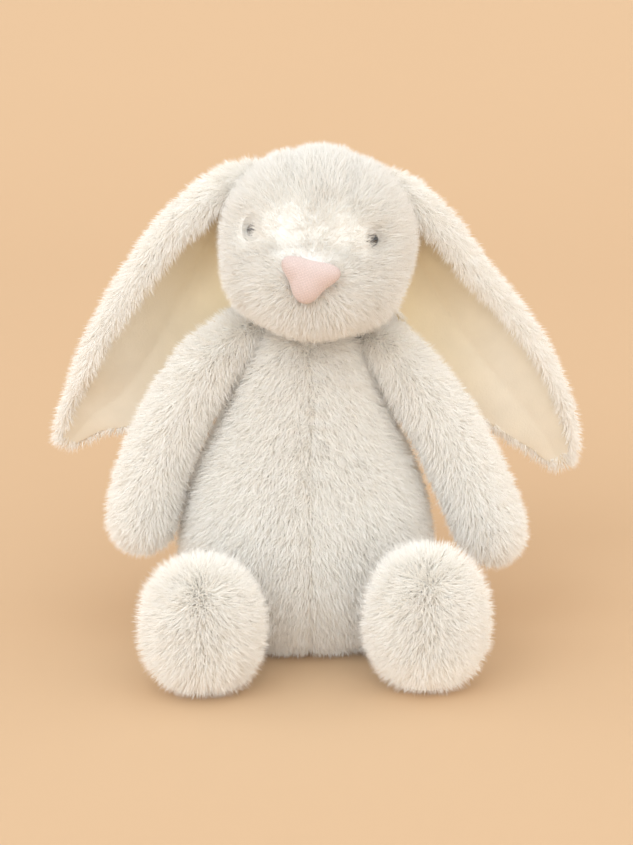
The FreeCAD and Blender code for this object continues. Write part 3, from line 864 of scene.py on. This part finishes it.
def ear_section(share, count=60):
    """The curl of the ear across its width: places, normals and lie at v from -1, inner, to 1, outer.

    The outer edge folds right over forwards, most of all near the root, and the inner edge turns up a little.
    """
    v = np.linspace(-1, 1, count + 1)
    middle = (v[1:] + v[:-1]) / 2
    lip = math.radians(np.interp(share, (0, 0.15, 0.55, 0.85, 1.0), (155, 155, 145, 115, 50)))
    start = np.interp(share, (0, 0.12, 0.3, 0.55, 1.0), (0.0, 0.12, 0.38, 0.6, 0.7))
    upturn = math.radians(np.interp(share, (0, 0.2, 0.5, 0.75, 1.0), (65, 62, 42, 16, 8)))
    rise = np.clip((middle - start) / (0.95 - start), 0, 1)
    crease = np.clip((-middle - 0.08) / 0.22, 0, 1)
    angle = np.where(middle > 0, lip * rise * rise * (3 - 2 * rise),
                     -upturn * crease * crease * (3 - 2 * crease))
    x = np.concatenate([[0], np.cumsum(np.cos(angle) * (2 / count))])
    z = np.concatenate([[0], np.cumsum(np.sin(angle) * (2 / count))])
    z -= z[count // 2]
    span = x.max() - x.min()
    x = (x - (x.max() + x.min()) / 2) * 2 / span
    turns = np.interp(v, middle, angle)
    return v, x, z * 2 / span, turns


def catmull(keys, values, spots):
    """Values at spots on a smooth curve through the keys."""
    slopes = np.gradient(values, keys)
    which = np.clip(np.searchsorted(keys, spots) - 1, 0, len(keys) - 2)
    span = keys[which + 1] - keys[which]
    t = (spots - keys[which]) / span
    h00, h10 = 2 * t ** 3 - 3 * t ** 2 + 1, t ** 3 - 2 * t ** 2 + t
    h01, h11 = -2 * t ** 3 + 3 * t ** 2, t ** 3 - t ** 2
    return (h00 * values[which] + h10 * span * slopes[which] + h01 * values[which + 1]
            + h11 * span * slopes[which + 1])


def ear_sheet(name, side, low, high, offset, thick, columns=36):
    """A closed layer of an ear between v = low and high, and the way its pile lies.

    Faces that show pile, behind and round the rim, take the second material.
    """
    stations = ear_stations(side)
    form = bmesh.new()
    front, back, lie = [], [], []
    for index, (centre, half, along, facing, across) in enumerate(stations):
        share = index / (len(stations) - 1)
        v, x, z, turns = ear_section(share)
        rows = ([], [])
        for k in range(columns + 1):
            at = low + (high - low) * k / columns
            px, pz, turn = (np.interp(at, v, values) for values in (x, z, turns))
            normal = across * -math.sin(turn) + facing * math.cos(turn)
            tangent = across * math.cos(turn) + facing * math.sin(turn)
            place = centre + across * px * half + facing * pz * half + normal * offset
            edge = thick / 2 * (1 - 0.6 * abs(2 * k / columns - 1) ** 8)
            rows[0].append(form.verts.new(place + normal * edge))
            rows[1].append(form.verts.new(place - normal * edge))
            lie.append((rows[0][-1], rows[1][-1], along + tangent * 0.4 * math.copysign(1, at)))
        front.append(rows[0])
        back.append(rows[1])
    rim = 2
    for i in range(len(stations) - 1):
        for k in range(columns):
            inside = form.faces.new((front[i][k], front[i][k + 1], front[i + 1][k + 1], front[i + 1][k]))
            inside.material_index = 0 if rim <= k < columns - rim and i < len(stations) - 3 else 1
            outside = form.faces.new((back[i][k], back[i + 1][k], back[i + 1][k + 1], back[i][k + 1]))
            outside.material_index = 1
        for k in (0, columns):
            form.faces.new((front[i][k], front[i + 1][k], back[i + 1][k], back[i][k])).material_index = 1
    for i in (0, len(stations) - 1):
        for k in range(columns):
            form.faces.new((front[i][k], back[i][k], back[i][k + 1], front[i][k + 1])).material_index = 1
    bmesh.ops.recalc_face_normals(form, faces=form.faces)
    form.verts.index_update()
    combed = np.zeros((len(form.verts), 3))
    for first, second, way in lie:
        combed[first.index] = combed[second.index] = way
    return as_object(name, form), combed


class RABBIT_OT_ears(bpy.types.Operator):
    """Two folded ears: pile backs that wrap the rims, and smooth linings"""

    bl_idname = "rabbit.ears"
    bl_label = "Ears"

    def execute(self, context):
        for side in SIDES:
            stations = ear_stations(side)
            back, back_lie = ear_sheet(f"ear_back_cloth_{side}", side, -1.0, 1.0, 0.0, 2.0 * MM)
            back.data.materials.append(MATERIALS["backing"])
            back.data.materials.append(MATERIALS["backing"])
            lining, lining_lie = ear_sheet(f"ear_lining_cloth_{side}", side, -0.985, 0.80, 1.7 * MM,
                                           1.2 * MM)
            lining.data.materials.append(MATERIALS["lining"])
            lining.data.polygons.foreach_set("material_index", [0] * len(lining.data.polygons))
            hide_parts(f"ear_back_{side}")
            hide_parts(f"ear_lining_{side}")
            lay_attributes(back, back_lie)
            lay_attributes(lining, lining_lie)
            pile = grow_pile(f"ear_pile_{side}", back, None, sizes().ear_pile, coated=True, lean=1.0)
            for piece in (back, lining, pile):
                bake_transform(piece)
        return {"FINISHED"}


# ---------------------------------------------------------------- arms
def limb_stations(line):
    """Rings along a bent line of (centre, radius), in metres, with round ends."""
    centres = [Vector(c) for c, _ in line]
    stations = []
    for index, (centre, radius) in enumerate(zip(centres, [r for _, r in line])):
        along = (centres[min(index + 1, len(line) - 1)] - centres[max(index - 1, 0)]).normalized()
        across = along.cross(Vector((0, 1, 0))).normalized()
        stations.append((centre, radius, radius, across, along.cross(across)))
    return stations


# Middle and radius of each ring, from the shoulder to the hand.
ARM_LINES = {
    "left": ((20, 0, 131, 8), (30, -2, 126.5, 10), (42, -4, 112, 11.5), (54, -6, 95, 12),
             (62.5, -8, 79, 12.4), (69.5, -9, 63, 12.6), (75, -10, 49, 12.2)),
    "right": ((-20, 0, 136, 8), (-32, -2, 132, 10), (-45, -4, 121, 11.5), (-57, -6, 103, 12),
              (-65.5, -8, 86, 12.2), (-71.5, -9, 69, 12.4), (-74.5, -10, 54.5, 12.2)),
}


class RABBIT_OT_arms(bpy.types.Operator):
    """Two stuffed arms with their pile"""

    bl_idname = "rabbit.arms"
    bl_label = "Arms"

    def execute(self, context):
        for side in SIDES:
            line = [(Vector((x, y, z)) * MM, r * MM) for x, y, z, r in ARM_LINES[side]]
            forms = [tube(limb_stations(line)), blob(line[0][0], Vector((1, 1, 1)) * line[0][1]),
                     blob(line[-1][0], Vector((12.2, 12.2, 12.6)) * MM)]
            cover = weld(f"arm_cover_{side}", forms)
            shoulder, hand = line[0][0], line[-1][0]
            along = (hand - shoulder).normalized()
            seam = Vector((0, 1, 0)).cross(along).normalized()
            stuff(cover, [lambda p: np.abs((p - np.array(shoulder)) @ np.array(seam))
                          + 0.2 * (p[:, 1] < -8 * MM)])
            finish_cover(cover, None,
                         [f"arm_panel_{half}_{side}" for half in ("outer", "inner")])
            lay_attributes(cover, lambda p: np.tile(np.array(along), (len(p), 1)))
            pile = grow_pile(f"arm_pile_{side}", cover, None, sizes().body_pile)
            for piece in (cover, pile):
                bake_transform(piece)
        return {"FINISHED"}


# ---------------------------------------------------------------- legs
# Where each foot's middle is, and half its height.
FEET = {"left": (45, -67, 30.5, 28), "right": (-46.5, -70, 28.5, 26.5)}


class RABBIT_OT_legs(bpy.types.Operator):
    """Two stuffed legs with upright feet"""

    bl_idname = "rabbit.legs"
    bl_label = "Legs"

    def execute(self, context):
        for side in SIDES:
            x, y, z, height = FEET[side]
            foot = Vector((x, y, z)) * MM
            hip = Vector(JOINTS[f"leg_{side}_lift"]["pos_m"])
            inward = (Vector((TORSO_X, 0, 0)) - Vector((hip.x, hip.y, 0))).normalized()
            line = [(hip + inward * 12 * MM, 11 * MM), (hip, 12.4 * MM),
                    ((hip + foot) / 2 + Vector((0, 0, -4 * MM)), 12.4 * MM),
                    (foot + Vector((0, 4, -12)) * MM, 13 * MM)]
            forms = [blob(foot, Vector((21.3, 13.5, height)) * MM, 2.2), tube(limb_stations(line)),
                     blob(hip + inward * 12 * MM, Vector((11, 11, 11)) * MM)]
            cover = weld(f"leg_cover_{side}", forms, smoothing=10)
            stuff(cover, [lambda p: np.abs(p[:, 1] - (y - 6) * MM)])
            finish_cover(cover, None,
                         [f"leg_panel_{half}_{side}" for half in ("outer", "inner")] + [f"sole_{side}"])

            def leg_comb(points):
                """Away from a parting down the middle of the sole and downwards, then back along the leg."""
                local = points - np.array(foot)
                beside = np.tanh(local[:, 0] / (5 * MM)) * 0.8
                rise = np.full(len(points), -0.45)
                sole = np.clip((-local[:, 1] + 2 * MM) / (12 * MM), 0, 1)[:, None]
                return np.column_stack([beside, 0 * beside, rise]) * (0.4 + 0.6 * sole) \
                    + np.array((0, 0.9, 0)) * (1 - sole)

            lay_attributes(cover, leg_comb, seat_nap)
            pile = {}
            for part, front in (("foot", True), ("leg", False)):
                pile[part] = grow_pile(f"{part}_pile_{side}", cover, None, sizes().foot_pile,
                                       where=lambda c: (c[:, 1] < (y + 8) * MM) == front, lean=0.65,
                                       density=1.3 if front else 0.9)
            for piece in (cover, *pile.values()):
                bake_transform(piece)
        return {"FINISHED"}


# ---------------------------------------------------------------- tail and sewing
class RABBIT_OT_tail(bpy.types.Operator):
    """Round pompom tail"""

    bl_idname = "rabbit.tail"
    bl_label = "Tail"

    def execute(self, context):
        low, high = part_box("tail_cover")
        centre, radius = (low + high) / 2, (high.x - low.x) / 2
        cover = weld("tail_ball", [blob(centre, Vector((1.02, 0.95, 0.98)) * radius)])
        stuff(cover, [lambda p: np.abs(p[:, 0] - centre.x)])
        finish_cover(cover, "torso", ["tail_cover"])
        lay_attributes(cover, radial_comb(centre + Vector((0, -radius, radius))))
        grow_pile("tail_pile", cover, "torso", sizes().body_pile, lean=0.35, ruffle=1.8)
        return {"FINISHED"}


INNER_NODES = {
    "stuffing": ("torso_stuffing", "tail_stuffing", "neck_stuffing", "head_stuffing", "arm_stuffing_left",
                 "arm_stuffing_right", "leg_stuffing_left", "leg_stuffing_right"),
    "pouch": ("bean_pouch",), "beans": ("bean_fill",), "thread": ("neck_thread",),
    "washer": ("eye_washer_left", "eye_washer_right"),
}


class RABBIT_OT_label(bpy.types.Operator):
    """Blank care label: a ribbon folded once, its ends sewn into the side seam"""

    bl_idname = "rabbit.label"
    bl_label = "Care label"

    def execute(self, context):
        low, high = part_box("care_label")
        thick, gap = 0.3 * MM, 0.5 * MM
        middle, reach = (low.y + high.y) / 2, high.x - low.x
        path = [(low.x + reach * t, middle - gap * (1 + 0.6 * math.sin(3 * t)) + 0.8 * MM * t * t)
                for t in np.linspace(0, 0.96, 13)]
        path += [(high.x, middle + 0.6 * MM)]
        path += [(low.x + reach * t, middle + gap * (1 + 0.8 * math.sin(3 * t)) + 0.8 * MM * t * t)
                 for t in np.linspace(0.96, 0, 13)]
        form = bmesh.new()
        rows = []
        for index, (x, y) in enumerate(path):
            before, after = path[max(index - 1, 0)], path[min(index + 1, len(path) - 1)]
            normal = Vector((before[1] - after[1], after[0] - before[0], 0)).normalized() * thick / 2
            rows.append([form.verts.new(Vector((x, y, z)) + side * normal)
                         for side, z in ((-1, low.z), (1, low.z), (1, high.z), (-1, high.z))])
        for first, second in zip(rows, rows[1:]):
            ring_of_faces(form, first, second)
        form.faces.new(list(reversed(rows[0])))
        form.faces.new(rows[-1])
        bmesh.ops.recalc_face_normals(form, faces=form.faces)
        ribbon = as_object("care_ribbon", form, "label", smooth=False)
        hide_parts("care_label")
        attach(ribbon, "torso")
        return {"FINISHED"}


class RABBIT_OT_neck(bpy.types.Operator):
    """Small padded ball between torso and head, with its own pile"""

    bl_idname = "rabbit.neck"
    bl_label = "Neck"

    def execute(self, context):
        low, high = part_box("neck_cover")
        centre, radius = (low + high) / 2, (high.x - low.x) / 2
        cover = weld("neck_ball", [blob(centre, Vector((1, 1, 1)) * radius)], smoothing=2)
        finish_cover(cover, "neck", ["neck_cover"])
        lay_attributes(cover, radial_comb(centre + Vector((0, 0, radius))))
        grow_pile("neck_pile", cover, "neck", 3.0 * MM)
        return {"FINISHED"}


class RABBIT_OT_inner(bpy.types.Operator):
    """Finishes of the pieces inside the covers"""

    bl_idname = "rabbit.inner"
    bl_label = "Inner pieces"

    def execute(self, context):
        for key, names in INNER_NODES.items():
            for name in names:
                obj = frame["nodes"][name]
                for index in range(max(1, len(obj.material_slots))):
                    if not obj.material_slots:
                        obj.data.materials.append(None)
                    obj.material_slots[index].link = "OBJECT"
                    obj.material_slots[index].material = MATERIALS[key]
        return {"FINISHED"}


# ---------------------------------------------------------------- stage
class RABBIT_OT_stage(bpy.types.Operator):
    """Paper sweep, soft lights and the camera"""

    bl_idname = "rabbit.stage"
    bl_label = "Stage"

    def execute(self, context):
        scene = context.scene
        self.sweep()
        self.sun("key", (-0.62, -0.72, 0.62), 0.78, 40.0, (0.80, 0.91, 1.0))
        self.sun("fill", (0.5, -0.8, 0.35), 0.45, 90.0, (1.0, 0.95, 0.88))
        world = bpy.data.worlds.new("room")
        world.use_nodes = True
        set_inputs(world.node_tree.nodes["Background"], Color=(0.955, 0.94, 0.905, 1), Strength=1.32)
        scene.world = world
        scene.view_settings.view_transform = "Standard"
        scene.cycles.diffuse_bounces, scene.cycles.max_bounces = 8, 12
        self.camera(scene)
        return {"FINISHED"}

    def sweep(self):
        """A floor that turns up into a wall behind the toy in one bend."""
        half, front, wall, bend, rise = 4.0, -3.0, 0.7, 1.8, 5.0
        form = bmesh.new()
        profile = [(front, 0.0), (wall, 0.0)]
        profile += [(wall + bend * math.sin(a), bend - bend * math.cos(a))
                    for a in [math.pi / 2 * k / 16 for k in range(1, 17)]]
        profile.append((wall + bend, rise))
        rows = [[form.verts.new((x, y, z)) for x in (-half, half)] for y, z in profile]
        for low, high in zip(rows, rows[1:]):
            form.faces.new((low[0], low[1], high[1], high[0]))
        as_object("sweep", form, "sweep")

    def sun(self, name, towards, strength, softness, colour):
        """Even light from one side, with the softness of a wide lamp in degrees."""
        lamp = bpy.data.lights.new(name, "SUN")
        lamp.energy, lamp.angle, lamp.color = strength, math.radians(softness), colour
        obj = bpy.data.objects.new(name, lamp)
        bpy.context.scene.collection.objects.link(obj)
        obj.rotation_euler = (-Vector(towards)).to_track_quat("-Z", "Y").to_euler()

    def camera(self, scene):
        """At the height of the toy's head, looking a little down at its chest."""
        lens = bpy.data.cameras.new("camera")
        lens.lens, lens.sensor_width = 90.0, 36.0
        distance, elevation = 0.884, math.radians(17.0)
        target = Vector((0.0, -0.02, 0.100))
        camera = bpy.data.objects.new("camera", lens)
        scene.collection.objects.link(camera)
        camera.location = target + Vector((0, -math.cos(elevation), math.sin(elevation))) * distance
        camera.rotation_euler = (target - camera.location).to_track_quat("-Z", "Y").to_euler()
        scene.camera = camera


# ---------------------------------------------------------------- panel and main
STEPS = ("stage", "torso", "head", "face", "ears", "arms", "legs", "tail", "inner", "label", "neck")


class RABBIT_PT_panel(bpy.types.Panel):
    """Steps of the rabbit, in the sidebar"""

    bl_idname = "RABBIT_PT_panel"
    bl_label = "Plush Rabbit"
    bl_space_type = "VIEW_3D"
    bl_region_type = "UI"
    bl_category = "Rabbit"

    def draw(self, context):
        for settings in (context.scene.rabbit_sizes, context.scene.rabbit_colours):
            for name in settings.__annotations__:
                self.layout.prop(settings, name)
        for step in STEPS:
            self.layout.operator(f"rabbit.{step}")


CLASSES = (RabbitSizes, RabbitColours, RABBIT_OT_torso, RABBIT_OT_head, RABBIT_OT_face, RABBIT_OT_ears,
           RABBIT_OT_arms, RABBIT_OT_legs, RABBIT_OT_tail, RABBIT_OT_inner, RABBIT_OT_label,
           RABBIT_OT_neck, RABBIT_OT_stage, RABBIT_PT_panel)


def register():
    for cls in CLASSES:
        bpy.utils.register_class(cls)
    bpy.types.Scene.rabbit_sizes = PointerProperty(type=RabbitSizes)
    bpy.types.Scene.rabbit_colours = PointerProperty(type=RabbitColours)


def unregister():
    del bpy.types.Scene.rabbit_sizes
    del bpy.types.Scene.rabbit_colours
    for cls in reversed(CLASSES):
        bpy.utils.unregister_class(cls)


def main():
    register()
    MATERIALS.update(make_materials())
    for step in STEPS:
        getattr(bpy.ops.rabbit, step)()


if __name__ == "__main__":
    main()
